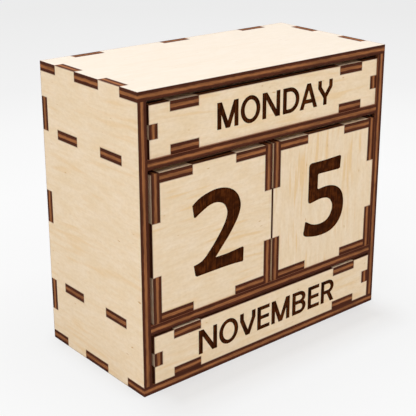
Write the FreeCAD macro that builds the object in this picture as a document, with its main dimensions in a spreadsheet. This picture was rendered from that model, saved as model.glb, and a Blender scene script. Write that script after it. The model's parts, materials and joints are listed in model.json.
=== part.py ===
"""A perpetual desk calendar of laser-cut plywood, in millimetres.

An open-fronted case holds three rows. Two square bars in the top row carry the weekdays, two cubes in
the middle row carry the digits of the date, and three square bars in the bottom row carry the months.
Every case wall, cube face and bar face is a flat panel of the same sheet, and its edges are cut into
fingers that lock into the notches of the panels beside it.

The origin is at the middle of the underside. The front faces -Y, +X is to the right and +Z is up.
"""
import FreeCAD, Part
import os
import Sketcher

# Driving dimensions

SIZES = {
    "ply": 3.0,
    "cube_side": 47.6,
    "cube_finger": 17.2,
    "cube_pair_play": 0.8,
    "cube_depth_play": 0.55,
    "cube_headroom": 1.6,
    "cube_recess": 0.25,
    "cubes_gap": 0.6,
    "bar_play": 1.2,
    "bar_gap": 0.05,
    "bar_finger": 10.5,
    "bar_margin": 7.6,
    "bar_end_finger": 4.4,
    "weekday_headroom": 1.5,
    "weekday_recess": 0.5,
    "month_headroom": 0.9,
    "right_gap": 0.1,
    "case_finger": 10.8,
}

# Where the case's outer fingers start, along each of its three directions
DEPTH_MARGIN_SHARE = 0.1665
WIDTH_MARGIN_SHARE = 0.1076
HEIGHT_MARGIN_SHARE = 0.1172

MONTH_BARS = 3

document = FreeCAD.newDocument("DeskCalendar")
sheet = document.addObject("Spreadsheet::Sheet", "Sizes")
for row, (alias, length) in enumerate(SIZES.items(), start=1):
    sheet.set(f"A{row}", alias)
    sheet.set(f"B{row}", str(length))
    sheet.setAlias(f"B{row}", alias)
document.recompute()


class Size:
    """A length, kept with the expression that works it out from the sheet."""

    def __init__(self, text, value):
        self.text = text
        self.value = value

    def __add__(self, other):
        return Size(f"({self.text} + {other.text})", self.value + other.value)

    def __sub__(self, other):
        return Size(f"({self.text} - {other.text})", self.value - other.value)

    def __mul__(self, count):
        return Size(f"({self.text} * {count})", self.value * count)

    def __truediv__(self, count):
        return Size(f"({self.text} / {count})", self.value / count)


def size(alias):
    """The length that the sheet holds under this alias."""
    return Size(f"Sizes.{alias}", float(sheet.get(alias)))


ZERO = Size("0", 0.0)
PLY = size("ply")

# Cubes and bars

CUBE_SIDE = size("cube_side")
CUBE_CORNER = (CUBE_SIDE - size("cube_finger")) / 2

INNER_DEPTH = CUBE_SIDE + size("cube_depth_play")
BAR_PITCH = INNER_DEPTH / MONTH_BARS
BAR_SECTION = BAR_PITCH - size("bar_gap")
BAR_LENGTH = CUBE_SIDE * 2 + size("cube_pair_play")
BAR_MARGIN = size("bar_margin")
BAR_FINGER_END = BAR_MARGIN + size("bar_finger")
BAR_END_CORNER = (BAR_SECTION - size("bar_end_finger")) / 2

# Case, from what it has to hold

WIDTH = BAR_LENGTH + size("bar_play") + PLY * 2
DEPTH = INNER_DEPTH + PLY
LOWER_SHELF_Z = PLY + BAR_SECTION + size("month_headroom")
CUBE_FLOOR_Z = LOWER_SHELF_Z + PLY
UPPER_SHELF_Z = CUBE_FLOOR_Z + CUBE_SIDE + size("cube_headroom")
WEEKDAY_FLOOR_Z = UPPER_SHELF_Z + PLY
TOP_PANEL_Z = WEEKDAY_FLOOR_Z + BAR_SECTION + size("weekday_headroom")
HEIGHT = TOP_PANEL_Z + PLY

CASE_FINGER = size("case_finger")
DEPTH_MARGIN = DEPTH * DEPTH_MARGIN_SHARE
WIDTH_MARGIN = WIDTH * WIDTH_MARGIN_SHARE
HEIGHT_MARGIN = HEIGHT * HEIGHT_MARGIN_SHARE
MIDDLE_ACROSS = (WIDTH - CASE_FINGER) / 2
MIDDLE_UP = (HEIGHT - CASE_FINGER) / 2

CASE_LEFT = ZERO - WIDTH / 2
CASE_FRONT = ZERO - DEPTH / 2

# Places of the loose pieces, which are all pushed towards the right wall

RIGHT_STOP = WIDTH / 2 - PLY - size("right_gap")
BAR_X = RIGHT_STOP - BAR_LENGTH
RIGHT_CUBE_X = RIGHT_STOP - CUBE_SIDE
LEFT_CUBE_X = RIGHT_CUBE_X - size("cubes_gap") - CUBE_SIDE
CUBE_Y = CASE_FRONT + size("cube_recess")
WEEKDAY_FRONT_Y = CASE_FRONT + size("weekday_recess")
WEEKDAY_REAR_Y = CASE_FRONT + BAR_PITCH * (MONTH_BARS - 1)


# Panels

def mirrored_up(points, height):
    """The points turned over about half the height, in reverse, so that they carry the outline on."""
    return [(across, height - up) for across, up in reversed(points)]


def mirrored_across(points, width):
    """The points turned over about half the width, in reverse, so that they carry the outline on."""
    return [(width - across, up) for across, up in reversed(points)]


def from_quarter(quarter, width, height):
    """A whole outline from the points between the middle of the bottom edge and that of the left edge."""
    half = quarter + mirrored_up(quarter, height)
    return half + mirrored_across(half, width)


def rectangle(across, up, width, height):
    """The outline of a square-cornered hole."""
    return [(across, up), (across + width, up), (across + width, up + height), (across, up + height)]


def draw(sketch, points):
    """Draw a closed outline of level and upright lines, with one size for each line."""
    vectors = [FreeCAD.Vector(across.value, up.value, 0) for across, up in points]
    ends = vectors[1:] + vectors[:1]
    first = sketch.GeometryCount
    sketch.addGeometry([Part.LineSegment(start, end) for start, end in zip(vectors, ends)])
    rules = []
    lengths = {}
    for index, (across, up) in enumerate(points):
        line = first + index
        following = (index + 1) % len(points)
        level = up.text == points[following][1].text
        distance = up if level else across
        rules.append(Sketcher.Constraint("Coincident", line, 2, first + following, 1))
        rules.append(Sketcher.Constraint("Horizontal" if level else "Vertical", line))
        if distance is ZERO:
            rules.append(Sketcher.Constraint("PointOnObject", line, 1, -1 if level else -2))
        else:
            lengths[sketch.ConstraintCount + len(rules)] = distance.text
            kind = "DistanceY" if level else "DistanceX"
            rules.append(Sketcher.Constraint(kind, -1, 1, line, 1, distance.value))
    sketch.addConstraint(rules)
    for number, text in lengths.items():
        sketch.setExpression(f"Constraints[{number}]", text)


def panel(label, plane, corner, outline, holes=()):
    """A flat panel of the sheet: its outline and its holes are drawn on one plane and padded."""
    body = document.addObject("PartDesign::Body", label)
    body.Label = label
    sketch = body.newObject("Sketcher::SketchObject", f"{label}_outline")
    origin_plane = next(face for face in body.Origin.OriginFeatures if face.Role == plane)
    sketch.AttachmentSupport = [(origin_plane, "")]
    sketch.MapMode = "FlatFace"
    for points in (outline, *holes):
        draw(sketch, points)
    pad = body.newObject("PartDesign::Pad", f"{label}_thickness")
    pad.Profile = sketch
    pad.Reversed = plane == "XZ_Plane"
    pad.setExpression("Length", PLY.text)
    for axis, distance in zip("xyz", corner):
        body.setExpression(f".Placement.Base.{axis}", distance.text)
    return body


def box_of_panels(name, corner, width, depth, height, outlines, end_names=("left", "right")):
    """Six panels that close a box: front and back, both ends, and top and bottom."""
    left_name, right_name = end_names
    left, front, bottom = corner
    face_outline, end_outline, lid_outline = outlines
    right = left + width - PLY
    back = front + depth - PLY
    top = bottom + height - PLY
    return [
        panel(f"{name}_front", "XZ_Plane", (left, front, bottom), face_outline),
        panel(f"{name}_back", "XZ_Plane", (left, back, bottom), face_outline),
        panel(f"{name}_{left_name}", "YZ_Plane", (left, front, bottom), end_outline),
        panel(f"{name}_{right_name}", "YZ_Plane", (right, front, bottom), end_outline),
        panel(f"{name}_bottom", "XY_Plane", (left, front, bottom), lid_outline),
        panel(f"{name}_top", "XY_Plane", (left, front, top), lid_outline),
    ]


def cross(side, corner):
    """A square panel with a finger in the middle of each edge, and its corners left to its neighbours."""
    quarter = [(corner, ZERO), (corner, PLY), (PLY, PLY), (PLY, corner), (ZERO, corner)]
    return from_quarter(quarter, side, side)


# Case

def side_outline():
    """A side wall: two fingers at top and bottom, and three notches for the back panel."""
    back = DEPTH - PLY
    finger_end = DEPTH_MARGIN + CASE_FINGER
    lower_half = [
        (ZERO, PLY),
        (DEPTH_MARGIN, PLY),
        (DEPTH_MARGIN, ZERO),
        (finger_end, ZERO),
        (finger_end, PLY),
        (DEPTH - finger_end, PLY),
        (DEPTH - finger_end, ZERO),
        (DEPTH - DEPTH_MARGIN, ZERO),
        (DEPTH - DEPTH_MARGIN, PLY),
        (DEPTH, PLY),
        (DEPTH, HEIGHT_MARGIN),
        (back, HEIGHT_MARGIN),
        (back, HEIGHT_MARGIN + CASE_FINGER),
        (DEPTH, HEIGHT_MARGIN + CASE_FINGER),
        (DEPTH, MIDDLE_UP),
        (back, MIDDLE_UP),
    ]
    return lower_half + mirrored_up(lower_half, HEIGHT)


def side_holes():
    """The slots in a side wall for the tabs of both shelves."""
    fronts = (DEPTH_MARGIN, DEPTH - DEPTH_MARGIN - CASE_FINGER)
    heights = (LOWER_SHELF_Z, UPPER_SHELF_Z)
    return [rectangle(front, up, CASE_FINGER, PLY) for up in heights for front in fronts]


def lid_outline():
    """The top or bottom of the case: notches for the sides at its ends, and for the back panel behind."""
    back = DEPTH - PLY
    finger_end = DEPTH_MARGIN + CASE_FINGER
    left_half = [
        (ZERO, ZERO),
        (ZERO, DEPTH_MARGIN),
        (PLY, DEPTH_MARGIN),
        (PLY, finger_end),
        (ZERO, finger_end),
        (ZERO, DEPTH - finger_end),
        (PLY, DEPTH - finger_end),
        (PLY, DEPTH - DEPTH_MARGIN),
        (ZERO, DEPTH - DEPTH_MARGIN),
        (ZERO, DEPTH),
        (WIDTH_MARGIN, DEPTH),
        (WIDTH_MARGIN, back),
        (WIDTH_MARGIN + CASE_FINGER, back),
        (WIDTH_MARGIN + CASE_FINGER, DEPTH),
        (MIDDLE_ACROSS, DEPTH),
        (MIDDLE_ACROSS, back),
    ]
    return left_half + mirrored_across(left_half, WIDTH)


def shelf_outline():
    """A shelf: two tabs through each side wall and three through the back panel."""
    back = DEPTH - PLY
    finger_end = DEPTH_MARGIN + CASE_FINGER
    left_half = [
        (PLY, ZERO),
        (PLY, DEPTH_MARGIN),
        (ZERO, DEPTH_MARGIN),
        (ZERO, finger_end),
        (PLY, finger_end),
        (PLY, DEPTH - finger_end),
        (ZERO, DEPTH - finger_end),
        (ZERO, DEPTH - DEPTH_MARGIN),
        (PLY, DEPTH - DEPTH_MARGIN),
        (PLY, back),
        (WIDTH_MARGIN, back),
        (WIDTH_MARGIN, DEPTH),
        (WIDTH_MARGIN + CASE_FINGER, DEPTH),
        (WIDTH_MARGIN + CASE_FINGER, back),
        (MIDDLE_ACROSS, back),
        (MIDDLE_ACROSS, DEPTH),
    ]
    return left_half + mirrored_across(left_half, WIDTH)


def back_outline():
    """The back panel: three tabs into each side wall and three into the top and the bottom."""
    quarter = [
        (MIDDLE_ACROSS, ZERO),
        (MIDDLE_ACROSS, PLY),
        (WIDTH_MARGIN + CASE_FINGER, PLY),
        (WIDTH_MARGIN + CASE_FINGER, ZERO),
        (WIDTH_MARGIN, ZERO),
        (WIDTH_MARGIN, PLY),
        (PLY, PLY),
        (PLY, HEIGHT_MARGIN),
        (ZERO, HEIGHT_MARGIN),
        (ZERO, HEIGHT_MARGIN + CASE_FINGER),
        (PLY, HEIGHT_MARGIN + CASE_FINGER),
        (PLY, MIDDLE_UP),
        (ZERO, MIDDLE_UP),
    ]
    return from_quarter(quarter, WIDTH, HEIGHT)


def back_holes():
    """The slots in the back panel for the tabs of both shelves."""
    lefts = (WIDTH_MARGIN, MIDDLE_ACROSS, WIDTH - WIDTH_MARGIN - CASE_FINGER)
    heights = (LOWER_SHELF_Z, UPPER_SHELF_Z)
    return [rectangle(left, up, CASE_FINGER, PLY) for up in heights for left in lefts]


def case():
    """The fixed case: a top, a bottom, two sides, a back and two shelves."""
    right = WIDTH / 2 - PLY
    back = DEPTH / 2 - PLY
    return [
        panel("bottom_panel", "XY_Plane", (CASE_LEFT, CASE_FRONT, ZERO), lid_outline()),
        panel("top_panel", "XY_Plane", (CASE_LEFT, CASE_FRONT, TOP_PANEL_Z), lid_outline()),
        panel("left_side", "YZ_Plane", (CASE_LEFT, CASE_FRONT, ZERO), side_outline(), side_holes()),
        panel("right_side", "YZ_Plane", (right, CASE_FRONT, ZERO), side_outline(), side_holes()),
        panel("back_panel", "XZ_Plane", (CASE_LEFT, back, ZERO), back_outline(), back_holes()),
        panel("lower_shelf", "XY_Plane", (CASE_LEFT, CASE_FRONT, LOWER_SHELF_Z), shelf_outline()),
        panel("upper_shelf", "XY_Plane", (CASE_LEFT, CASE_FRONT, UPPER_SHELF_Z), shelf_outline()),
    ]


# Date cubes

def cube(name, left):
    """A hollow cube of six panels, standing on the lower shelf."""
    sides_quarter = [
        (CUBE_CORNER, PLY),
        (CUBE_CORNER, ZERO),
        (ZERO, ZERO),
        (ZERO, CUBE_CORNER),
        (PLY, CUBE_CORNER),
    ]
    lids_quarter = [
        (CUBE_CORNER, PLY),
        (CUBE_CORNER, ZERO),
        (PLY, ZERO),
        (PLY, CUBE_CORNER),
        (ZERO, CUBE_CORNER),
    ]
    outlines = (
        cross(CUBE_SIDE, CUBE_CORNER),
        from_quarter(sides_quarter, CUBE_SIDE, CUBE_SIDE),
        from_quarter(lids_quarter, CUBE_SIDE, CUBE_SIDE),
    )
    corner = (left, CUBE_Y, CUBE_FLOOR_Z)
    return box_of_panels(name, corner, CUBE_SIDE, CUBE_SIDE, CUBE_SIDE, outlines)


# Weekday and month bars

def bar(name, front, bottom):
    """A hollow square bar of four long panels and two end caps."""
    faces_quarter = [
        (BAR_FINGER_END, ZERO),
        (BAR_FINGER_END, PLY),
        (BAR_MARGIN, PLY),
        (BAR_MARGIN, ZERO),
        (ZERO, ZERO),
        (ZERO, BAR_END_CORNER),
        (PLY, BAR_END_CORNER),
    ]
    lids_quarter = [
        (BAR_FINGER_END, PLY),
        (BAR_FINGER_END, ZERO),
        (BAR_MARGIN, ZERO),
        (BAR_MARGIN, PLY),
        (ZERO, PLY),
        (ZERO, BAR_END_CORNER),
        (PLY, BAR_END_CORNER),
    ]
    outlines = (
        from_quarter(faces_quarter, BAR_LENGTH, BAR_SECTION),
        cross(BAR_SECTION, BAR_END_CORNER),
        from_quarter(lids_quarter, BAR_LENGTH, BAR_SECTION),
    )
    corner = (BAR_X, front, bottom)
    end_names = ("left_end", "right_end")
    return box_of_panels(name, corner, BAR_LENGTH, BAR_SECTION, BAR_SECTION, outlines, end_names)


# The whole calendar

sub_parts = case()
sub_parts += cube("left_cube", LEFT_CUBE_X)
sub_parts += cube("right_cube", RIGHT_CUBE_X)
sub_parts += bar("weekday_bar_1", WEEKDAY_FRONT_Y, WEEKDAY_FLOOR_Z)
sub_parts += bar("weekday_bar_2", WEEKDAY_REAR_Y, WEEKDAY_FLOOR_Z)
for number in range(MONTH_BARS):
    sub_parts += bar(f"month_bar_{number + 1}", CASE_FRONT + BAR_PITCH * number, PLY)

document.recompute()

for item in document.Objects:
    if {"Invalid", "Error"} & set(item.State):
        raise RuntimeError(f"{item.Label} failed: {item.State}")
for piece in sub_parts:
    if piece.Shape.isNull() or not piece.Shape.isValid() or len(piece.Shape.Solids) != 1:
        raise RuntimeError(f"{piece.Label} isn't one valid solid")

os.makedirs("parts", exist_ok=True)
for piece in sub_parts:
    piece.Shape.exportStep(f"parts/{piece.Label}.step")

whole = Part.makeCompound([piece.Shape for piece in sub_parts]).BoundBox
print(f"{len(sub_parts)} panels, {whole.XLength:.2f} x {whole.YLength:.2f} x {whole.ZLength:.2f} mm")
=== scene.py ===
# %% [markdown]
# # A perpetual desk calendar of laser-cut plywood
# The calendar is an open-fronted case with three rows. The top row holds a bar with a weekday on it, the
# middle row two cubes with a digit each, and the bottom row a bar with a month. Everything is cut from
# one kind of 3 mm plywood with a laser. The words and digits are burnt into the wood by the same laser.
#
# This lesson dresses the finished CAD panels: it gives each one its veneer, its dark cut edges and its
# lettering. First comes the frame, which is the imported model. The size of its box is kept.

# %% The frame
import json
import math

import bmesh
import bpy
from mathutils import Matrix, Vector


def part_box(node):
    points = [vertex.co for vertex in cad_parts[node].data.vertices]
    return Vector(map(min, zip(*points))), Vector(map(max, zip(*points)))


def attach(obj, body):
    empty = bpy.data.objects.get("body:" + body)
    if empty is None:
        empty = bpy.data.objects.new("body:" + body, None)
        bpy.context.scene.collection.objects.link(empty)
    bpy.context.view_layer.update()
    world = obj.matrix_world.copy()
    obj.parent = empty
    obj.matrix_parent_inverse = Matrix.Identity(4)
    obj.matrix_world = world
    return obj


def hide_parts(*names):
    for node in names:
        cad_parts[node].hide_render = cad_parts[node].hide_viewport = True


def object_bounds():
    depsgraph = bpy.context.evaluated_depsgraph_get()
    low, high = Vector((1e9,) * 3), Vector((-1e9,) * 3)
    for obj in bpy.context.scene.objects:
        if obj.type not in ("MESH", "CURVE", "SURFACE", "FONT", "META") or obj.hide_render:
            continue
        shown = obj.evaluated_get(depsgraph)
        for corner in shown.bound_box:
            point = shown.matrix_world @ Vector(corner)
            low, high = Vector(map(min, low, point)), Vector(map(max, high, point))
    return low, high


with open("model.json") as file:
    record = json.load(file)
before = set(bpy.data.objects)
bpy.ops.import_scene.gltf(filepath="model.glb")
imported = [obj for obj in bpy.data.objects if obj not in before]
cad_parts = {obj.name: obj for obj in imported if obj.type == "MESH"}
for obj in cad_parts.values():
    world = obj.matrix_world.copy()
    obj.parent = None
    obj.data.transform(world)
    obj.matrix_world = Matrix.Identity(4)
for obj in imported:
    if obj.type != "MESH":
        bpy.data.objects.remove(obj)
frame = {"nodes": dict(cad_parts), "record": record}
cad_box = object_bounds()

print("CAD box in metres:", [[round(value, 4) for value in corner] for corner in cad_box])

# %% [markdown]
# ## Camera
# A camera could be placed by eye. This one was worked out from the corners and the tabs of the case: it
# stands to the left and above, about 35 cm away, with a lens that is long enough to keep the upright
# edges nearly parallel. The picture is framed a little to one side of where the lens points, and the
# shift stands for that.

# %% Camera
MM = 0.001

camera_data = bpy.data.cameras.new("product_camera")
camera_data.sensor_width = 36
camera_data.lens = 88.021
camera_data.shift_x = -0.1025
camera_data.shift_y = -0.0989
camera_data.clip_start = 0.01
camera = bpy.data.objects.new("product_camera", camera_data)
camera.location = Vector((-210.19, -247.61, 165.46)) * MM
camera.rotation_euler = [math.radians(angle) for angle in (71.438, -0.676, -41.923)]
bpy.context.scene.collection.objects.link(camera)
bpy.context.scene.camera = camera
bpy.context.scene.view_settings.view_transform = "Standard"
case_middle = (Vector(cad_box[0]) + Vector(cad_box[1])) / 2
print("camera to the case's middle:", round((camera.location - case_middle).length, 3), "m")

# %% [markdown]
# ## Colours and nodes
# A colour picker shows sRGB values, and a shader counts in linear light. One function turns a hex value
# into the linear colour that a node needs. Another adds a node to a material, with its settings and what
# is plugged into it, so that a material reads as a short recipe. Two more set the stops of a colour ramp
# and start an empty material.

# %% Helpers for materials
def linear(hex_colour):
    """The linear red, green, blue and alpha of an sRGB colour such as "e2c9aa"."""
    values = [int(hex_colour[place:place + 2], 16) / 255 for place in (0, 2, 4)]
    return [v / 12.92 if v <= 0.04045 else ((v + 0.055) / 1.055) ** 2.4 for v in values] + [1.0]


def add(tree, kind, settings=None, inputs=None):
    """A new node with its settings, and its inputs given as values or as other nodes' outputs."""
    node = tree.nodes.new(kind)
    for name, value in (settings or {}).items():
        setattr(node, name, value)
    for name, value in (inputs or {}).items():
        if isinstance(value, bpy.types.NodeSocket):
            tree.links.new(value, node.inputs[name])
        else:
            node.inputs[name].default_value = value
    return node


def stops(node, marks):
    """Sets a colour ramp's stops from (position, hex colour) pairs."""
    ramp = node.color_ramp
    while len(ramp.elements) < len(marks):
        ramp.elements.new(1.0)
    for element, (position, colour) in zip(ramp.elements, marks):
        element.position = position
        element.color = linear(colour)


def new_material(name):
    """An empty material with its shader and its output."""
    material = bpy.data.materials.new(name)
    material.use_nodes = True
    tree = material.node_tree
    tree.nodes.clear()
    shader = add(tree, "ShaderNodeBsdfPrincipled")
    add(tree, "ShaderNodeOutputMaterial", inputs={"Surface": shader.outputs["BSDF"]})
    return material, tree, shader


print("the veneer's red, green and blue in linear light:", [round(v, 3) for v in linear("e2c9aa")])

# %% [markdown]
# ## Paper and light
# The calendar stands on white matt paper in a photographer's light tent. The paper mirrors nothing, and
# the calendar's shadow on it is only just there. A large soft box overhead makes the top face the
# brightest and leaves a little shade along the base. Two smaller ones stand to the left and to the right,
# almost as high as they are far away, for the left side and the front. A weak one behind is for the back,
# which the others leave dim.
#
# The tent is bright above and dim at table height. Light from so high up doesn't reach into the narrow
# gaps round the loose pieces, which are dark two millimetres in.
#
# The paper could be lit until it is white, but then the wood would be too bright as well. Instead the
# camera sees the paper partly as the light on it and partly as a glow, which is painted light. The glow
# carries a painted shadow of its own, which starts from a patch that is a little narrower than the case
# and a little further to the front, and the glow is strongest further off. The calendar gets the light of
# a duller paper, because a bright one would light the gaps from below.

# %% Paper
PAPER_RADIUS = 6.0
SHADE_SHIFT = 8 * MM
ZERO = (0.0, 0.0, 0.0)
SMOOTH = {"interpolation_type": "SMOOTHSTEP"}
MIX = {"data_type": "RGBA"}

floor_mesh = bpy.data.meshes.new("paper")
bm = bmesh.new()
bmesh.ops.create_circle(bm, cap_ends=True, radius=PAPER_RADIUS, segments=96)
bm.to_mesh(floor_mesh)
bm.free()
floor = bpy.data.objects.new("paper", floor_mesh)
bpy.context.scene.collection.objects.link(floor)

paper, tree, shader = new_material("white_paper_matt")
place = add(tree, "ShaderNodeTexCoord").outputs["Object"]
half = (max(corner[0] for corner in cad_box) - SHADE_SHIFT, max(corner[1] for corner in cad_box), 0.0)
steps = (("ADD", (0.0, SHADE_SHIFT, 0.0)), ("ABSOLUTE", ZERO), ("SUBTRACT", half), ("MAXIMUM", ZERO))
away = place
for operation, other in steps:
    away = add(tree, "ShaderNodeVectorMath", {"operation": operation}, {0: away, 1: other}).outputs["Vector"]
away = add(tree, "ShaderNodeVectorMath", {"operation": "LENGTH"}, {0: away}).outputs["Value"]
rays = add(tree, "ShaderNodeLightPath").outputs
paper_colour = add(tree, "ShaderNodeMix", MIX,
                   {0: rays["Is Camera Ray"], 6: linear("c8c8c8"), 7: linear("d2d2d2")}).outputs[2]
tree.links.new(paper_colour, shader.inputs["Base Color"])
shader.inputs["Roughness"].default_value = 0.9
shader.inputs["Specular IOR Level"].default_value = 0.0
# The glow's colour is a painted shadow of the calendar: darkest at the patch, lightest a little away, dimmer
# far off.
glow_and_painted_shade = add(tree, "ShaderNodeValToRGB", inputs={"Fac": away})
# The stops stand at metres from the patch.
stops(glow_and_painted_shade, [(0.0, "dedede"), (0.004, "eaeaea"), (0.014, "f5f5f5"), (0.03, "f7f7f7"), (0.06, "fafafa"),
               (0.14, "fbfbfb"), (0.23, "f8f8f8"), (0.32, "f2f2f2"), (0.6, "ececec")])
glow = add(tree, "ShaderNodeEmission", inputs={"Color": glow_and_painted_shade.outputs["Color"], "Strength": 1.0}).outputs[0]
part = add(tree, "ShaderNodeMapRange", SMOOTH,
           {"Value": away, "From Min": 0.0, "From Max": 0.015, "To Min": 0.55, "To Max": 0.95})
part = add(tree, "ShaderNodeMath", {"operation": "MULTIPLY"},
           {0: rays["Is Camera Ray"], 1: part.outputs["Result"]}).outputs[0]
seen = add(tree, "ShaderNodeMixShader", inputs={"Fac": part, 1: shader.outputs[0], 2: glow}).outputs[0]
output = next(node for node in tree.nodes if node.type == "OUTPUT_MATERIAL")
tree.links.new(seen, output.inputs["Surface"])
floor_mesh.materials.append(paper)
print("paper:", floor_mesh.name, 2 * PAPER_RADIUS, "m across")

# %% Tent and lamps
world = bpy.data.worlds.new("light_tent")
world.use_nodes = True
bpy.context.scene.world = world
tree = world.node_tree
tree.nodes.clear()
# The camera and soft reflections see a plain pale wall. What gives light is the tent, and the lamps below.
rays = add(tree, "ShaderNodeLightPath").outputs
seen = add(tree, "ShaderNodeMath", {"operation": "ADD", "use_clamp": True},
           {0: rays["Is Camera Ray"], 1: rays["Is Glossy Ray"]}).outputs[0]
height = add(tree, "ShaderNodeTexCoord").outputs["Generated"]
height = add(tree, "ShaderNodeSeparateXYZ", inputs={0: height}).outputs["Z"]
light = add(tree, "ShaderNodeMapRange", SMOOTH,
            {"Value": height, "From Min": 0.0, "From Max": 0.7, "To Min": 0.05, "To Max": 0.34})
tent = add(tree, "ShaderNodeBackground",
           inputs={"Color": linear("ffffff"), "Strength": light.outputs["Result"]})
wall = add(tree, "ShaderNodeBackground", inputs={"Color": linear("ebebeb"), "Strength": 1.0})
mixed = add(tree, "ShaderNodeMixShader", inputs={"Fac": seen, 1: tent.outputs[0], 2: wall.outputs[0]})
add(tree, "ShaderNodeOutputWorld", inputs={"Surface": mixed.outputs[0]})


LAMP_AIM = Vector((0.0, 0.0, 0.05))


def soft_lamp(name, size, watts, location):
    """A square soft box that points at the middle of the calendar."""
    data = bpy.data.lights.new(name, "AREA")
    data.shape = "SQUARE"
    data.size = size
    data.energy = watts
    lamp = bpy.data.objects.new(name, data)
    lamp.location = location
    aim = LAMP_AIM - lamp.location
    lamp.rotation_euler = aim.to_track_quat("-Z", "Y").to_euler()
    bpy.context.scene.collection.objects.link(lamp)
    print(name, size, "m square,", watts, "W")


soft_lamp("overhead_soft_box", 1.6, 12.2, (-0.1, -0.1, 1.0))
soft_lamp("left_soft_box", 0.6, 9.6, (-1.0, -0.35, 0.9))
soft_lamp("right_soft_box", 0.4, 3.25, (0.5, -0.6, 0.62))
soft_lamp("back_soft_box", 0.5, 3.6, (0.2, 1.2, 0.5))

# %% [markdown]
# ## Birch veneer
# The two outer skins of this plywood are birch: a pale, even wood. What the eye finds in it is a broad
# soft figure along the grain, a little yellower and darker than the rest, very fine fibres, and a few
# short orange flecks. It is sanded and left bare, so it shines only very softly.
#
# A picture of wood could be wrapped round each panel. Noise that is stretched along the grain does the
# same from any side and at any size. It needs to know the grain's direction, so every panel will carry an
# attribute, sheet_place, with each point's place in its sheet: along the grain, across the grain, and
# through the thickness. A second attribute, for the tone, makes one panel a little greyer than the next.
# The top panel gets most of it, and there it is painted light: its colour is greyed because so much light
# falls on that face that its own yellow would be too strong. The attribute sheet_figure makes the streaks
# of two panels livelier. The last one, for scorching and painted shade, fades to 0 away from a cut
# outline.
#
# Real birch fibres are thinner than 0.1 mm. They are drawn 0.35 mm wide here, as coarse as they need to
# show.

# %% Helpers for wood
low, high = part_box("back_panel")
SHEET = round((high[1] - low[1]) / MM, 3)


def sheet_millimetres(tree):
    """The place in the sheet, in millimetres."""
    place = add(tree, "ShaderNodeAttribute", {"attribute_name": "sheet_place"}).outputs["Vector"]
    scaled = add(tree, "ShaderNodeVectorMath", {"operation": "SCALE"}, {0: place, "Scale": 1 / MM})
    return scaled.outputs["Vector"]


def stretched_noise(tree, place, length, width, detail=2.0, roughness=0.5, distortion=0.0):
    """Noise with marks about length mm along the grain, and width mm across it and through the sheet."""
    squeezed = add(tree, "ShaderNodeVectorMath", {"operation": "MULTIPLY"},
                   {0: place, 1: (1 / length, 1 / width, 1 / width)}).outputs["Vector"]
    noise = add(tree, "ShaderNodeTexNoise", inputs={"Vector": squeezed, "Scale": 1.0, "Detail": detail,
                                                    "Roughness": roughness, "Distortion": distortion})
    return noise.outputs["Fac"]


def tinted(tree, colour, tint, pattern, start, end, least, most):
    """A colour under a tint, whose share goes from least to most as the pattern goes from start to end."""
    share = add(tree, "ShaderNodeMapRange", SMOOTH,
                {"Value": pattern, "From Min": start, "From Max": end, "To Min": least, "To Max": most})
    mixed = add(tree, "ShaderNodeMix", MIX, {0: share.outputs["Result"], 6: colour, 7: linear(tint)})
    return mixed.outputs[2]


print("the plywood is", SHEET, "mm thick")

# %% Birch veneer
veneer, tree, shader = new_material("birch_veneer_sanded")
place = sheet_millimetres(tree)
drift = stretched_noise(tree, place, 60.0, 14.0, detail=1.0)
slant = add(tree, "ShaderNodeMath", {"operation": "MULTIPLY_ADD"}, {0: drift, 1: 6.0, 2: -3.0}).outputs[0]
moved = add(tree, "ShaderNodeCombineXYZ", inputs={"Y": slant}).outputs[0]
wavy = add(tree, "ShaderNodeVectorMath", {"operation": "ADD"}, {0: place, 1: moved}).outputs["Vector"]

figure = stretched_noise(tree, wavy, 7.0, 2.0, detail=3.0, roughness=0.55)
cloud = stretched_noise(tree, wavy, 18.0, 8.0, detail=1.0)
patch = stretched_noise(tree, place, 26.0, 12.0, detail=0.0)
streak = stretched_noise(tree, wavy, 18.0, 1.9, detail=1.0)
streak = add(tree, "ShaderNodeMath", {"operation": "MULTIPLY_ADD"}, {0: patch, 1: 0.5, 2: streak}).outputs[0]
mottle = stretched_noise(tree, place, 1.3, 0.9, detail=1.0)
fibre = stretched_noise(tree, wavy, 5.0, 0.35, detail=2.0)
fleck = stretched_noise(tree, wavy, 2.4, 0.9, detail=0.0)
where = stretched_noise(tree, place, 22.0, 9.0, detail=0.0)
fleck = add(tree, "ShaderNodeMath", {"operation": "MULTIPLY_ADD"}, {0: where, 1: 0.35, 2: fleck}).outputs[0]

figure = add(tree, "ShaderNodeMapRange", SMOOTH, {"Value": figure, "From Min": 0.3, "From Max": 0.7})
wood = add(tree, "ShaderNodeValToRGB", inputs={"Fac": figure.outputs["Result"]})
stops(wood, [(0.0, "e2c8a3"), (0.5, "e5ceae"), (1.0, "e7d2b6")])
lively = add(tree, "ShaderNodeAttribute", {"attribute_name": "sheet_figure"}).outputs["Fac"]
lively = add(tree, "ShaderNodeMath", {"operation": "MULTIPLY"}, {0: lively, 1: 0.6}).outputs[0]
colour = wood.outputs["Color"]
for tint, pattern, start, end, most in (
        ("dec6a2", cloud, 0.35, 0.7, 0.35), ("dfbd8c", streak, 0.8, 1.03, lively),
        ("cdb189", mottle, 0.35, 0.7, 0.2), ("d0b38a", fibre, 0.35, 0.65, 0.1),
        ("bf9157", fleck, 1.0, 1.12, 0.8)):
    colour = tinted(tree, colour, tint, pattern, start, end, 0.0, most)
# The tone greys a panel a little. On the top panel it is painted light: a greyer colour for the strong light
# there.
tone_and_painted_light = add(tree, "ShaderNodeAttribute", {"attribute_name": "sheet_tone_and_painted_light"}).outputs["Fac"]
colour = add(tree, "ShaderNodeMix", MIX, {0: tone_and_painted_light, 6: colour, 7: linear("c3bdb6")}).outputs[2]
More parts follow.
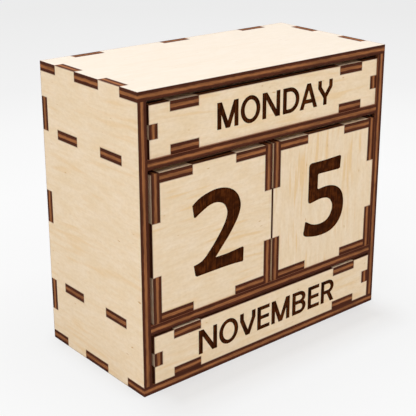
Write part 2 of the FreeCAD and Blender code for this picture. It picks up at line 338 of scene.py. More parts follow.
# Beside a cut the skin darkens: partly laser scorch and smoke, partly painted shade next to the gaps.
scorch_and_shade = add(tree, "ShaderNodeAttribute", {"attribute_name": "scorch_and_shade"}).outputs["Fac"]
scorch_and_shade = add(tree, "ShaderNodeMath", {"operation": "POWER"}, {0: scorch_and_shade, 1: 1.6}).outputs[0]
scorch_and_shade = add(tree, "ShaderNodeMath", {"operation": "MULTIPLY", "use_clamp": True},
             {0: scorch_and_shade, 1: 0.92}).outputs[0]
colour = add(tree, "ShaderNodeMix", MIX, {0: scorch_and_shade, 6: colour, 7: linear("6e3a18")}).outputs[2]
tree.links.new(colour, shader.inputs["Base Color"])
rough = add(tree, "ShaderNodeMapRange", SMOOTH,
            {"Value": fibre, "From Min": 0.3, "From Max": 0.7, "To Min": 0.58, "To Max": 0.72})
tree.links.new(rough.outputs["Result"], shader.inputs["Roughness"])
shader.inputs["IOR"].default_value = 1.5
bump = add(tree, "ShaderNodeBump", inputs={"Height": fibre, "Strength": 0.25, "Distance": 0.00005})
tree.links.new(bump.outputs["Normal"], shader.inputs["Normal"])
print("veneer nodes:", len(tree.nodes))

# %% [markdown]
# ## Laser-cut edge
# A laser cuts by burning, so the cut edge of a panel is brown. The sheet has three plies, and they char
# differently: the two skins turn almost black, and the thicker core, whose grain runs the other way,
# stays a warm brown. Fine lines run along the plies, and the char is matt: it has no shine at all.
#
# The plies could be modelled as three thin layers. A colour ramp on the third number of sheet_place, the
# way through the thickness, gives the same stripes and keeps each panel one solid. A little noise lets
# the borders between the plies waver as real glue lines do.

# %% Laser-cut edge
edge, tree, shader = new_material("three_ply_laser_cut_edge")
place = sheet_millimetres(tree)
through = add(tree, "ShaderNodeSeparateXYZ", inputs={0: place}).outputs["Z"]
# The borders waver every 3 mm or so, by up to 0.25 mm each way.
waver = add(tree, "ShaderNodeTexNoise", inputs={"Vector": place, "Scale": 0.35, "Detail": 3.0})
waver = add(tree, "ShaderNodeMath", {"operation": "MULTIPLY_ADD"},
            {0: waver.outputs["Fac"], 1: 0.5, 2: -0.25}).outputs[0]
through = add(tree, "ShaderNodeMath", {"operation": "ADD"}, {0: through, 1: waver}).outputs[0]
share = add(tree, "ShaderNodeMath", {"operation": "DIVIDE"}, {0: through, 1: SHEET}).outputs[0]
plies = add(tree, "ShaderNodeValToRGB", inputs={"Fac": share})
stops(plies, [(0.0, "442010"), (0.2, "4f2615"), (0.31, "582d1b"), (0.35, "925b36"), (0.5, "a2683d"),
              (0.65, "925b36"), (0.69, "582d1b"), (0.8, "4f2615"), (1.0, "442010")])
# The fine lines are 12.5 mm long and 0.31 mm apart.
lines = add(tree, "ShaderNodeVectorMath", {"operation": "MULTIPLY"}, {0: place, 1: (0.08, 0.08, 3.2)})
lines = add(tree, "ShaderNodeTexNoise",
            inputs={"Vector": lines.outputs["Vector"], "Scale": 1.0, "Detail": 2.0})
lines = add(tree, "ShaderNodeMapRange", SMOOTH,
            {"Value": lines.outputs["Fac"], "From Min": 0.3, "From Max": 0.7}).outputs["Result"]
colour = tinted(tree, plies.outputs["Color"], "2a130b", lines, 0.0, 1.0, 0.45, 0.0)
# Patches of soot, 4 to 5 mm long.
soot = add(tree, "ShaderNodeTexNoise", inputs={"Vector": place, "Scale": 0.22, "Detail": 3.0}).outputs["Fac"]
colour = tinted(tree, colour, "2e160c", soot, 0.45, 0.8, 0.0, 0.3)
tree.links.new(colour, shader.inputs["Base Color"])
shader.inputs["Roughness"].default_value = 0.85
shader.inputs["IOR"].default_value = 1.5
shader.inputs["Specular IOR Level"].default_value = 0.1
bump = add(tree, "ShaderNodeBump", inputs={"Height": lines, "Strength": 0.3, "Distance": 0.00008})
tree.links.new(bump.outputs["Normal"], shader.inputs["Normal"])
print("edge nodes:", len(tree.nodes))

# %% [markdown]
# ## Engraved burn
# To write, the laser runs to and fro over the face and burns the veneer away to a small depth. What is
# left is dark brown, nearly black at the rim, partly where the beam turns and partly as painted shade at
# the foot of the recess's walls, with faint streaks from its passes and some mottling where the wood was
# harder. The upper end of the recess's walls is only toasted, which draws a thin warm line round each
# letter.

# %% Engraved burn
burn, tree, shader = new_material("birch_veneer_laser_engraved")
place = sheet_millimetres(tree)
# The streaks of the passes are upright, nearly 8 mm long and a little under 0.5 mm apart: 1 m / 2200.
metres = add(tree, "ShaderNodeTexCoord").outputs["Object"]
passes = add(tree, "ShaderNodeVectorMath", {"operation": "MULTIPLY"},
             {0: metres, 1: (2200.0, 2200.0, 130.0)})
passes = add(tree, "ShaderNodeTexNoise",
             inputs={"Vector": passes.outputs["Vector"], "Scale": 1.0, "Detail": 3.0})
# The mottling is about 2 mm wide.
mottle = add(tree, "ShaderNodeTexNoise", inputs={"Vector": place, "Scale": 0.45, "Detail": 3.0})
both = add(tree, "ShaderNodeMath", {"operation": "ADD"},
           {0: passes.outputs["Fac"], 1: mottle.outputs["Fac"]}).outputs[0]
spread = add(tree, "ShaderNodeMapRange", SMOOTH, {"Value": both, "From Min": 0.65, "From Max": 1.35})
char = add(tree, "ShaderNodeValToRGB", inputs={"Fac": spread.outputs["Result"]})
stops(char, [(0.0, "260e03"), (0.5, "3a1906"), (1.0, "54280d")])
# Near the walls the floor darkens: partly the beam's burn where it turns, partly painted shade at their
# foot.
scorch_and_shade = add(tree, "ShaderNodeAttribute", {"attribute_name": "scorch_and_shade"}).outputs["Fac"]
scorch_and_shade = add(tree, "ShaderNodeMath", {"operation": "MULTIPLY"}, {0: scorch_and_shade, 1: 0.55}).outputs[0]
colour = add(tree, "ShaderNodeMix", MIX,
             {0: scorch_and_shade, 6: char.outputs["Color"], 7: linear("1d0903")}).outputs[2]
through = add(tree, "ShaderNodeSeparateXYZ", inputs={0: place}).outputs["Z"]
other = add(tree, "ShaderNodeMath", {"operation": "SUBTRACT"}, {0: SHEET, 1: through}).outputs[0]
depth = add(tree, "ShaderNodeMath", {"operation": "MINIMUM"}, {0: through, 1: other}).outputs[0]
colour = tinted(tree, colour, "96602f", depth, 0.02, 0.26, 0.85, 0.0)
tree.links.new(colour, shader.inputs["Base Color"])
shader.inputs["Roughness"].default_value = 0.8
shader.inputs["IOR"].default_value = 1.5
shader.inputs["Specular IOR Level"].default_value = 0.02
bump = add(tree, "ShaderNodeBump", inputs={"Height": both, "Strength": 0.3, "Distance": 0.0001})
tree.links.new(bump.outputs["Normal"], shader.inputs["Normal"])
print("burn nodes:", len(tree.nodes))

# %% [markdown]
# ## The pen
# The words are in plain capitals of nearly one stroke width. A font could be used, but the built-in one
# has other shapes: here the Y and the V have upright arms, and the M goes down to the line. So the
# letters are written as a sign writer would, with a broad pen, whose upright strokes are a little wider
# than its level ones. The pen is one short edge. For a straight stroke it is extruded, and for a bow it
# is spun about a centre. A slanting stroke that ends on the base line or at the top is drawn too long and
# then trimmed there.

# %% The pen's strokes
ARC_STEP = 7  # degrees


def straight_stroke(bm, x0, y0, x1, y1, pen, height):
    """A straight stroke with its centre line from (x0, y0) to (x1, y1), in millimetres."""
    run = Vector((x1 - x0, y1 - y0, 0))
    upright, level = pen
    width = level + (upright - level) * abs(run.y) / run.length
    side = Vector((-run.y, run.x, 0)).normalized() * width / 2
    slants = abs(run.x) > 0.01 and abs(run.y) > 0.01
    start = Vector((x0, y0, 0)) - run.normalized() * (width if slants and y0 in (0, height) else 0)
    end = Vector((x1, y1, 0)) + run.normalized() * (width if slants and y1 in (0, height) else 0)
    nib = bm.edges.new([bm.verts.new(start - side), bm.verts.new(start + side)])
    drawn = bmesh.ops.extrude_edge_only(bm, edges=[nib])["geom"]
    moved = [part for part in drawn if isinstance(part, bmesh.types.BMVert)]
    bmesh.ops.translate(bm, verts=moved, vec=end - start)


def bowed_stroke(bm, x, y, width, height, start, end, pen):
    """A bow about (x, y): its centre line's half width and half height, and its first and last angle."""
    known = set(bm.verts)
    turn = Matrix.Rotation(math.radians(start), 4, "Z")
    # The bow is spun between circles of radius 1 and 2, which are then scaled to its inner and outer oval.
    ends = [bm.verts.new(turn @ Vector((radius, 0, 0))) for radius in (1, 2)]
    nib = bm.edges.new(ends)
    bmesh.ops.spin(bm, geom=ends + [nib], axis=(0, 0, 1), cent=(0, 0, 0), angle=math.radians(end - start),
                   steps=max(4, round(abs(end - start) / ARC_STEP)), use_merge=end - start == 360)
    bow = [vertex for vertex in bm.verts if vertex not in known]
    inside = [vertex for vertex in bow if vertex.co.length < 1.5]
    outside = [vertex for vertex in bow if vertex.co.length >= 1.5]
    upright, level = pen
    bmesh.ops.scale(bm, verts=inside, vec=(width - upright / 2, height - level / 2, 1))
    bmesh.ops.scale(bm, verts=outside, vec=((width + upright / 2) / 2, (height + level / 2) / 2, 1))
    bmesh.ops.translate(bm, verts=bow, vec=(x, y, 0))


def written(strokes, height, pen):
    """A flat letter or digit from its strokes: four numbers for a straight one, six for a bowed one."""
    bm = bmesh.new()
    for stroke in strokes:
        if len(stroke) == 4:
            straight_stroke(bm, *stroke, pen, height)
    for line, outwards in ((0, -1), (height, 1)):
        bmesh.ops.bisect_plane(bm, geom=bm.verts[:] + bm.edges[:] + bm.faces[:], plane_co=(0, line, 0),
                               plane_no=(0, outwards, 0), clear_outer=True)
    for stroke in strokes:
        if len(stroke) == 6:
            bowed_stroke(bm, *stroke, pen)
    return bm


CAPITAL = 8.36
PEN = (1.66, 1.37)

bm = written([(0.8, 0, 0.8, CAPITAL), (6.3, 0, 6.3, CAPITAL), (0.8, 4.3, 6.3, 4.3)], CAPITAL, PEN)
print("an H of", len(bm.faces), "strokes")
bm.free()

# %% [markdown]
# ## The alphabet
# These are all the letters that the seven weekdays and the twelve months need, in millimetres. Before the
# strokes come the letter's width and the space that it wants at its left and right.

# %% Capitals
TOP = CAPITAL
STEM = (0.82, 0, 0.82, TOP)
CAPITALS = {
    "A": (7.9, 0.0, 0.05, [(0.8, 0, 3.93, TOP), (7.1, 0, 3.9, TOP), (2.1, 2.45, 6.0, 2.45)]),
    "B": (6.45, 0.6, 0.45, [STEM, (0.82, 7.67, 3.35, 7.67), (0.82, 4.37, 3.6, 4.37),
                            (0.82, 0.68, 3.6, 0.68), (3.35, 6.02, 2.12, 1.65, -90, 90),
                            (3.6, 2.53, 2.03, 1.84, -90, 90)]),
    "C": (6.8, 0.25, 0.25, [(4.15, 4.17, 3.33, 3.72, 48, 312)]),
    "D": (7.25, 0.6, 0.25, [STEM, (0.82, 7.67, 2.95, 7.67), (0.82, 0.66, 2.95, 0.66),
                            (2.95, 4.17, 3.48, 3.51, -90, 90)]),
    "E": (5.58, 0.6, 0.24, [STEM, (0.82, 7.67, 5.48, 7.67), (0.82, 4.27, 5.3, 4.27),
                            (0.82, 0.7, 5.58, 0.7)]),
    "F": (5.2, 0.6, 0.2, [STEM, (0.82, 7.67, 5.2, 7.67), (0.82, 4.15, 4.85, 4.15)]),
    "G": (7.5, 0.25, 0.5, [(4.15, 4.17, 3.33, 3.72, 48, 322), (6.68, 1.6, 6.68, 4.6), (4.3, 3.9, 7.5, 3.9)]),
    "H": (7.1, 0.6, 0.6, [STEM, (6.28, 0, 6.28, TOP), (0.82, 4.3, 6.28, 4.3)]),
    "I": (1.64, 0.6, 0.6, [STEM]),
    "J": (4.5, 0.2, 0.6, [(3.68, 2.4, 3.68, TOP), (1.85, 2.4, 1.83, 1.8, 195, 360)]),
    "L": (4.9, 0.6, 0.15, [STEM, (0.82, 0.68, 4.9, 0.68)]),
    "M": (8.42, 0.6, 0.6, [STEM, (7.6, 0, 7.6, TOP), (0.95, TOP, 4.21, 0), (7.47, TOP, 4.21, 0)]),
    "N": (7.54, 0.6, 0.6, [STEM, (6.72, 0, 6.72, TOP), (1.0, TOP, 6.55, 0)]),
    "O": (8.12, 0.25, 0.25, [(4.06, 4.18, 3.23, 3.72, 0, 360)]),
    "P": (6.1, 0.6, 0.2, [STEM, (0.82, 7.67, 3.4, 7.67), (0.82, 3.8, 3.4, 3.8),
                          (3.4, 5.735, 1.88, 1.935, -90, 90)]),
    "R": (6.35, 0.6, 0.1, [STEM, (0.82, 7.67, 3.45, 7.67), (0.82, 3.9, 3.45, 3.9),
                           (3.45, 4.0, 5.6, 0), (3.45, 5.785, 2.06, 1.885, -90, 90)]),
    "S": (6.0, 0.35, 0.35, [(3.05, 6.0, 2.1, 1.85, 28, 270), (3.0, 2.35, 2.2, 1.8, -152, 90)]),
    "T": (6.8, 0.1, 0.1, [(0.0, 7.67, 6.8, 7.67), (3.4, 0, 3.4, TOP)]),
    "U": (7.1, 0.55, 0.55, [(0.82, 3.0, 0.82, TOP), (6.28, 3.0, 6.28, TOP),
                            (3.55, 3.0, 2.73, 2.45, 180, 360)]),
    "V": (6.8, 0.5, 0.2, [(0.82, 5.5, 0.82, TOP), (5.98, 5.5, 5.98, TOP), (0.8, 5.93, 3.4, 0),
                          (6.0, 5.93, 3.4, 0)]),
    "W": (10.4, 0.1, 0.1, [(0.8, TOP, 3.05, 0), (9.6, TOP, 7.35, 0), (3.05, 0, 5.05, 7.2),
                           (7.35, 0, 5.35, 7.2)]),
    "Y": (6.72, 0.2, 0.1, [(0.82, 5.75, 0.82, TOP), (5.9, 5.75, 5.9, TOP), (0.72, 6.15, 3.2, 2.9),
                           (6.0, 6.15, 3.52, 2.9), (3.36, 0, 3.36, 3.2)]),
}
print("capitals:", "".join(sorted(CAPITALS)))

# %% [markdown]
# ## Digits
# The digits are far bolder, about 26.5 mm high, and their strokes swell. The 2 and the 5 in front are
# drawn as outlines, in a curve that Blender fills: a list of points in millimetres, in which a 1 marks a
# corner. The digits on the other faces are written with a wide pen.

# %% Outlines of the 2 and the 5
OUTLINES = {
    "2": [(-0.1, 23.6, 1), (0.4, 24.0, 0), (2.6, 25.35, 0), (5.75, 26.4, 0), (8.25, 26.85, 0),
          (10.5, 26.9, 0), (12.75, 26.55, 0), (14.9, 25.8, 0), (17.25, 24.15, 0), (18.85, 21.6, 0),
          (19.3, 19.2, 0), (18.95, 17.4, 0), (18.0, 15.2, 0), (16.75, 13.25, 0), (14.7, 10.55, 0),
          (12.2, 7.8, 0), (9.1, 4.45, 1), (11.3, 4.4, 0), (13.8, 4.45, 0), (17.5, 4.75, 0),
          (20.1, 5.0, 1), (20.7, 4.6, 1), (20.55, 0.2, 1), (20.35, -0.2, 1), (18.8, -0.05, 0),
          (13.8, 0.15, 0), (6.3, 0.05, 0), (1.65, 0.0, 1), (0.95, 0.45, 1), (0.3, 3.9, 1),
          (2.25, 4.25, 0), (3.7, 4.75, 0), (6.75, 7.4, 0), (10.2, 11.35, 0), (12.2, 14.15, 0),
          (13.35, 16.4, 0), (13.72, 18.4, 0), (13.3, 19.9, 0), (12.4, 21.2, 0), (11.05, 22.05, 0),
          (9.25, 22.5, 0), (7.0, 22.3, 0), (4.5, 21.3, 0), (1.2, 19.5, 1), (0.5, 19.65, 1)],
    "5": [(1.95, 25.5, 1), (2.35, 26.3, 0), (3.25, 26.6, 1), (9.1, 26.5, 1), (16.6, 26.75, 1),
          (17.3, 26.25, 1), (17.1, 24.4, 0), (16.95, 22.2, 1), (16.2, 21.9, 1), (6.7, 22.15, 1),
          (6.4, 21.9, 1), (6.32, 17.2, 1), (6.7, 16.8, 1), (8.1, 16.95, 0), (10.6, 17.05, 0),
          (13.4, 16.65, 0), (15.95, 15.55, 0), (18.05, 13.55, 0), (19.05, 10.9, 0), (19.22, 8.7, 0),
          (18.7, 5.6, 0), (17.15, 2.8, 0), (14.6, 0.85, 0), (11.9, -0.02, 0), (8.9, -0.25, 0),
          (5.9, -0.05, 0), (2.9, 0.55, 0), (0.6, 1.4, 0), (0.1, 2.2, 0), (0.4, 3.7, 0), (0.8, 6.1, 1),
          (1.1, 6.4, 1), (1.9, 5.95, 0), (4.1, 4.75, 0), (6.6, 4.15, 0), (9.1, 4.2, 0), (11.4, 4.95, 0),
          (13.1, 6.95, 0), (13.65, 9.1, 0), (13.05, 11.0, 0), (11.85, 12.25, 0), (9.9, 12.95, 0),
          (7.6, 13.05, 0), (5.4, 12.8, 0), (3.1, 12.45, 1), (2.2, 12.8, 0), (1.92, 13.7, 1)],
}


NEARLY_FLAT = math.radians(1)


def outlined(points):
    """The flat filled shape inside a closed outline of (x, y, is a corner) points."""
    curve = bpy.data.curves.new("outline", "CURVE")
    curve.dimensions = "2D"
    curve.fill_mode = "BOTH"
    curve.resolution_u = 4
    spline = curve.splines.new("BEZIER")
    spline.bezier_points.add(len(points) - 1)
    spline.use_cyclic_u = True
    for knot, (x, y, corner) in zip(spline.bezier_points, points):
        knot.co = (x, y, 0)
        knot.handle_left_type = "VECTOR" if corner else "AUTO"
        knot.handle_right_type = "VECTOR" if corner else "AUTO"
    holder = bpy.data.objects.new("outline", curve)
    bpy.context.scene.collection.objects.link(holder)
    bpy.context.view_layer.update()
    mesh = bpy.data.meshes.new_from_object(holder)
    bm = bmesh.new()
    bm.from_mesh(mesh)
    bpy.data.objects.remove(holder)
    bpy.data.curves.remove(curve)
    bpy.data.meshes.remove(mesh)
    bmesh.ops.remove_doubles(bm, verts=bm.verts, dist=1e-4)
    bmesh.ops.dissolve_limit(bm, angle_limit=NEARLY_FLAT, verts=bm.verts, edges=bm.edges)
    return bm


bm = outlined(OUTLINES["2"])
print("the 2 covers", round(sum(face.calc_area() for face in bm.faces)), "square millimetres")
bm.free()

# %% Digits written with the wide pen
DIGIT_HEIGHT = 26.5
WIDE_PEN = (4.9, 4.2)
DIGITS = {
    "0": [(9.9, 13.25, 7.5, 11.3, 0, 360)],
    "1": [(8.6, 0, 8.6, DIGIT_HEIGHT), (2.6, 20.4, 8.0, 24.6)],
    "3": [(8.2, 18.95, 6.0, 5.45, -90, 125), (7.9, 7.5, 7.4, 5.4, -145, 90), (5.4, 13.5, 8.3, 13.5),
          (5.4, 12.9, 8.0, 12.9)],
    "4": [(13.4, 0, 13.4, DIGIT_HEIGHT), (1.1, 7.6, 19.0, 7.6), (12.6, DIGIT_HEIGHT, 3.2, 8.4)],
    "6": [(9.9, 8.2, 7.5, 6.2, 0, 360), (14.4, 9.6, 12.0, 14.8, 96, 186)],
    "7": [(0.6, 24.4, 18.6, 24.4), (16.4, 24.0, 7.4, 0)],
    "8": [(9.7, 19.6, 5.9, 5.0, 0, 360), (9.7, 7.4, 7.3, 5.4, 0, 360)],
}
print("digits:", "".join(sorted([*DIGITS, *OUTLINES])))

# %% [markdown]
# ## Stamps
# Flat letters can't cut wood, so each word becomes a stamp: its letters are set side by side, centred,
# and given a thickness. The stamp reaches 0.3 mm into the face, which is as deep as such engraving
# usually goes, and stands a little proud of it so that the cut is clean.
#
# Made twice, a stamp can list its faces in another order, and the cut then differs in a few triangles.
# So its faces are put in a fixed order, and every run of this lesson gives the same meshes.

# %% Stamps
DEPTH = 0.3
PROUD = 0.4


def set_side_by_side(text):
    """All letters of a word as one flat shape, with its base line at 0 and its left edge at 0."""
    whole = bmesh.new()
    at = 0.0
    for index, letter in enumerate(text):
        width, left, right, strokes = CAPITALS[letter]
        at += left if index else 0.0
        piece = written(strokes, CAPITAL, PEN)
        bmesh.ops.translate(piece, verts=piece.verts, vec=(at, 0, 0))
        carried = bpy.data.meshes.new("letter")
        piece.to_mesh(carried)
        whole.from_mesh(carried)
        bpy.data.meshes.remove(carried)
        piece.free()
        at += width + right
    return whole


def in_order(bm):
    """The same points and faces, with the faces in an order that depends only on their points."""
    bm.verts.index_update()
    rings = []
    for face in bm.faces:
        ring = [vertex.index for vertex in face.verts]
        first = ring.index(min(ring))
        rings.append(ring[first:] + ring[:first])
    ordered = bmesh.new()
    points = [ordered.verts.new(vertex.co) for vertex in bm.verts]
    for ring in sorted(rings):
        ordered.faces.new([points[index] for index in ring])
    bm.free()
    return ordered


def stamp(text):
    """A word or a digit as closed solids round the origin, from DEPTH below the face to PROUD above it."""
    if text in OUTLINES:
        bm = outlined(OUTLINES[text])
    elif text in DIGITS:
        bm = written(DIGITS[text], DIGIT_HEIGHT, WIDE_PEN)
    else:
        bm = set_side_by_side(text)
    low = min(vertex.co.x for vertex in bm.verts)
    high = max(vertex.co.x for vertex in bm.verts)
    height = CAPITAL if len(text) > 1 else DIGIT_HEIGHT
    bmesh.ops.translate(bm, verts=bm.verts, vec=(-(low + high) / 2, -height / 2, 0))
    bmesh.ops.solidify(bm, geom=bm.faces[:], thickness=DEPTH + PROUD)
    lowest = min(vertex.co.z for vertex in bm.verts)
    bmesh.ops.translate(bm, verts=bm.verts, vec=(0, 0, -DEPTH - lowest))
    bmesh.ops.recalc_face_normals(bm, faces=bm.faces)
    return in_order(bm)


bm = stamp("MONDAY")
wide = max(v.co.x for v in bm.verts) - min(v.co.x for v in bm.verts)
print("MONDAY is", round(wide, 2), "mm wide, closed:", all(side.is_manifold for side in bm.edges))
bm.free()

# %% [markdown]
# ## What each face says
# A weekday bar has four long faces and there are seven weekdays, so the second bar has one bare face.
# Three bars take the twelve months. A cube has six faces. The two cubes share out the digits so that
# every day from 01 to 31 can be set, with a 6 that is turned over for a 9. A bar's words turn round it,
# so that each one stands upright when its face comes to the front. The words and digits in front aren't
# quite in the middle: OFF_CENTRE says by how many millimetres, to the right and up.

# %% Faces and their lettering
# For each face: which way it looks, and which way its text runs.
BAR_FACES = {"front": ((0, -1, 0), (1, 0, 0)), "top": ((0, 0, 1), (1, 0, 0)),
             "back": ((0, 1, 0), (1, 0, 0)), "bottom": ((0, 0, -1), (1, 0, 0))}
CUBE_FACES = {"front": ((0, -1, 0), (1, 0, 0)), "right": ((1, 0, 0), (0, 1, 0)),
              "back": ((0, 1, 0), (-1, 0, 0)), "left": ((-1, 0, 0), (0, -1, 0)),
              "top": ((0, 0, 1), (1, 0, 0)), "bottom": ((0, 0, -1), (1, 0, 0))}
TEXTS = {
    "weekday_bar_1": ["MONDAY", "TUESDAY", "WEDNESDAY", "THURSDAY"],
    "weekday_bar_2": ["FRIDAY", "SATURDAY", "SUNDAY"],
    "month_bar_1": ["NOVEMBER", "DECEMBER", "SEPTEMBER", "OCTOBER"],
    "month_bar_2": ["JANUARY", "FEBRUARY", "MARCH", "APRIL"],
    "month_bar_3": ["MAY", "JUNE", "JULY", "AUGUST"],
    "left_cube": ["2", "0", "1", "6", "7", "8"],
    "right_cube": ["5", "0", "1", "2", "3", "4"],
}
OFF_CENTRE = {"weekday_bar_1_front": (1.8, 0.19), "month_bar_1_front": (-0.1, 0.02),
              "left_cube_front": (1.6, 0.4), "right_cube_front": (0.0, 0.1)}

lettered = {}
for body, texts in TEXTS.items():
    faces = CUBE_FACES if body.endswith("cube") else BAR_FACES
    for (face, (outwards, rightwards)), text in zip(faces.items(), texts):
        lettered[f"{body}_{face}"] = (text, Vector(outwards), Vector(rightwards))
print("lettered panels:", len(lettered))

# %% [markdown]
# ## A panel's own mesh
# A CAD panel arrives as loose triangles. Its copy is merged, and the triangles that lie in one plane are
# joined into the few faces that a cut sheet has: two skins and the cut edges between them. The skins get
# a narrow rim with an inset, so that the scorching beside a cut, with some painted shade in it, can fade
# out over it. On the inner side of the case's panels the rim is 3 mm wide: its brown is partly smoke,
# which the laser draws down through the cut onto the underside of the sheet, and partly painted shade in
# the gaps round the loose pieces.

# %% Panels from the frame
RIM = 0.35 * MM
# The wide rim on the case's inner skins is browned partly by smoke and partly with painted shade.
SMOKE_AND_SHADE_RIM = 3.0 * MM
OUTER_WITHIN = 0.1 * MM
UPRIGHT_GRAIN = "right_cube_front"

body_of = {node: body for body, nodes in frame["record"]["behaviour"]["bodies"].items() for node in nodes}


def sheet_axes(node):
    """Which of x, y and z goes along the grain, across it and through the sheet."""
    low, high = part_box(node)
    sizes = [high[axis] - low[axis] for axis in range(3)]
    through = sizes.index(min(sizes))
    if through == 0:
        along = 1
    elif node == UPRIGHT_GRAIN:
        along = 2
    else:
        along = 0
    across = 3 - through - along
    return along, across, through


def outer_side(place, axis):
    """Whether a place lies on one of the calendar's six outer sides."""
    return min(abs(place - corner[axis]) for corner in cad_box) < OUTER_WITHIN


def lies_flat(face, through):
    """Whether a face is parallel to the sheet, and not a cut edge or the wall of a recess."""
    return abs(face.normal[through]) > 0.9


def panel_mesh(node):
    """A bmesh of the panel with skins (material 0) and cut edges (material 1), and a rim on the skins."""
    bm = bmesh.new()
    bm.from_mesh(frame["nodes"][node].data)
    bmesh.ops.remove_doubles(bm, verts=bm.verts, dist=1e-6)
    bmesh.ops.dissolve_limit(bm, angle_limit=NEARLY_FLAT, verts=bm.verts, edges=bm.edges)
    through = sheet_axes(node)[2]
    skins = [face for face in bm.faces if lies_flat(face, through)]
    for face in bm.faces:
        face.material_index = 0 if lies_flat(face, through) else 1
        face.smooth = False
    # The two skins get their rims one after the other, because one of them can get the wide rim, browned
    # partly by smoke and partly with painted shade.
    for side in (-1, 1):
        skin = [face for face in skins if face.normal[through] * side > 0]
        inside = not outer_side(skin[0].calc_center_median()[through], through)
        rim = SMOKE_AND_SHADE_RIM if body_of[node] == "case" and inside else RIM
        bmesh.ops.inset_region(bm, faces=skin, thickness=rim, use_boundary=True, use_even_offset=True)
    return bm


bm = panel_mesh("left_side")
print("left_side:", len(bm.faces), "faces, closed:", all(side.is_manifold for side in bm.edges))
bm.free()

# %% [markdown]
# ## Engraving
# A recess can be modelled by hand in the face, or cut with a boolean. The boolean follows any letter, and
# it can pass the stamp's material on to the faces that it leaves, so the recess is burnt wood from the
# start. It runs on an object with a modifier, and the result is taken as a new mesh.

# %% Engraving
def to_object(bm, name, materials):
    """A bmesh as an object in the scene."""
    mesh = bpy.data.meshes.new(name)
    bm.to_mesh(mesh)
    bm.free()
    for material in materials:
        mesh.materials.append(material)
    thing = bpy.data.objects.new(name, mesh)
    bpy.context.scene.collection.objects.link(thing)
    return thing


def engrave(panel, node):
    """Cuts the node's text into the panel's outer face."""
    text, outwards, rightwards = lettered[node]
    upwards = outwards.cross(rightwards)
    low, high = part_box(node)
    middle = (Vector(low) + Vector(high)) / 2
    right_by, up_by = OFF_CENTRE.get(node, (0.0, 0.0))
    middle += (rightwards * right_by + upwards * up_by) * MM
    middle += outwards * (abs(outwards.dot(Vector(high) - Vector(low))) / 2)
    turned = Matrix((rightwards, upwards, outwards)).transposed().to_4x4()
    cutter = stamp(text)
    placed = Matrix.Translation(middle) @ turned @ Matrix.Scale(MM, 4)
    bmesh.ops.transform(cutter, matrix=placed, verts=cutter.verts)
    cutter = to_object(cutter, "stamp", [burn])
    cut = panel.modifiers.new("engraving", "BOOLEAN")
    cut.operation = "DIFFERENCE"
    cut.solver = "EXACT"
    cut.use_self = True  # the strokes of a letter overlap
    cut.material_mode = "TRANSFER"
    cut.object = cutter
    engraved = bpy.data.meshes.new_from_object(panel.evaluated_get(bpy.context.evaluated_depsgraph_get()))
    panel.modifiers.clear()
    panel.data = engraved
    bpy.data.objects.remove(cutter)
    return engraved


print("the recesses are", DEPTH, "mm deep")

# %% [markdown]
# ## Where each point lies in the sheet
# With its shape done, a panel gets its attributes: the place in the sheet, the tone and the liveliness of
# its veneer, and the scorching, which also carries painted shade. The top panel's tone is painted light.
# The places are moved on by a different amount for each panel, as if they were cut from different parts
# of the sheet, so that no two of them show the same figure. The scorching starts at 1 beside a cut, where
# it is partly laser scorch and partly painted shade. On a side inside the case it starts at 3, which keeps
# it full over two thirds of the wide rim, whose brown is partly smoke and partly painted shade in the gaps.

# %% Attributes
# The top panel's tone is painted light: its colour is greyed for the strong light that falls on it.
PAINTED_LIGHT_TONES = {"top_panel": 0.7}
FIGURES = {"left_cube_front": 1.4, "right_cube_front": 1.9}
TONE_SPREAD = 0.06
DIGIT_RIM = 0.45 * MM
WORD_RIM = 0.3 * MM
# On the case's inner sides the scorching starts this high: partly smoke, partly painted shade in the gaps.
SMOKE_AND_SHADE = 3.0
NEXT_ALONG = 0.137
NEXT_ACROSS = 0.071


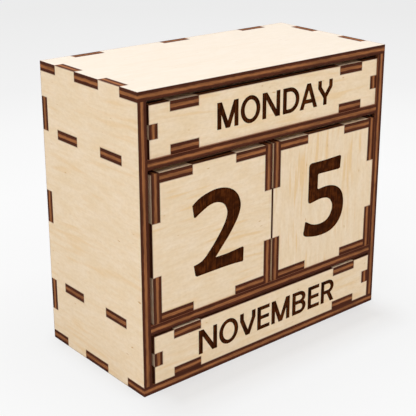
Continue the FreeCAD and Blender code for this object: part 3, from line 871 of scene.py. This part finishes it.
def finish_mesh(mesh, node, number):
    """Adds the rim of the engraved floors and the attributes that the materials read."""
    along, across, through = sheet_axes(node)
    low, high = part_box(node)
    bm = bmesh.new()
    bm.from_mesh(mesh)
    floors = [face for face in bm.faces if face.material_index == 2 and lies_flat(face, through)]
    if floors:
        rim = DIGIT_RIM if len(lettered[node][0]) == 1 else WORD_RIM
        bmesh.ops.inset_region(bm, faces=floors, thickness=rim, use_boundary=True, use_even_offset=False)
    scorch_and_shade = bm.verts.layers.float.new("scorch_and_shade")
    tone_and_painted_light = bm.verts.layers.float.new("sheet_tone_and_painted_light")
    lively = bm.verts.layers.float.new("sheet_figure")
    place = bm.verts.layers.float_vector.new("sheet_place")
    start = Vector((number * NEXT_ALONG, number * NEXT_ACROSS, 0))
    own_tone = number * 37 % 11 / 11 * TONE_SPREAD  # a fixed shuffle of eleven tones
    for vertex in bm.verts:
        around = vertex.link_faces
        on_cut = any(face.material_index == 1 for face in around)
        wall = any(face.material_index == 2 and not lies_flat(face, through) for face in around)
        skin = any(face.material_index == 0 for face in around)
        # Inside the case the scorching at a cut is raised, partly for smoke and partly as painted shade in
        # the gaps.
        smoked_and_shaded = body_of[node] == "case" and not outer_side(vertex.co[through], through)
        if on_cut or (wall and not skin):
            vertex[scorch_and_shade] = SMOKE_AND_SHADE if smoked_and_shaded else 1.0
        vertex[tone_and_painted_light] = PAINTED_LIGHT_TONES.get(node, own_tone)
        vertex[lively] = FIGURES.get(node, 1.0)
        spot = (vertex.co[along], vertex.co[across], vertex.co[through] - low[through])
        vertex[place] = Vector(spot) + start
    bm.to_mesh(mesh)
    bm.free()


print("panels with a tone or a figure of their own:", ", ".join([*PAINTED_LIGHT_TONES, *FIGURES]))

# %% [markdown]
# ## All panels
# The panels could be dressed one by one. One loop does it for all of them, because they differ only in
# their outline, their text and their place in the sheet. Each finished copy replaces its CAD panel, moves
# with the same body and is of the same plywood.

# %% Finished panels
for number, node in enumerate(sorted(frame["nodes"])):
    panel = to_object(panel_mesh(node), f"{node}_finished", [veneer, edge, burn])
    if node in lettered:
        engrave(panel, node)
    finish_mesh(panel.data, node, number)
    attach(panel, body_of[node])
    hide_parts(node)
print("finished panels:", len(body_of))
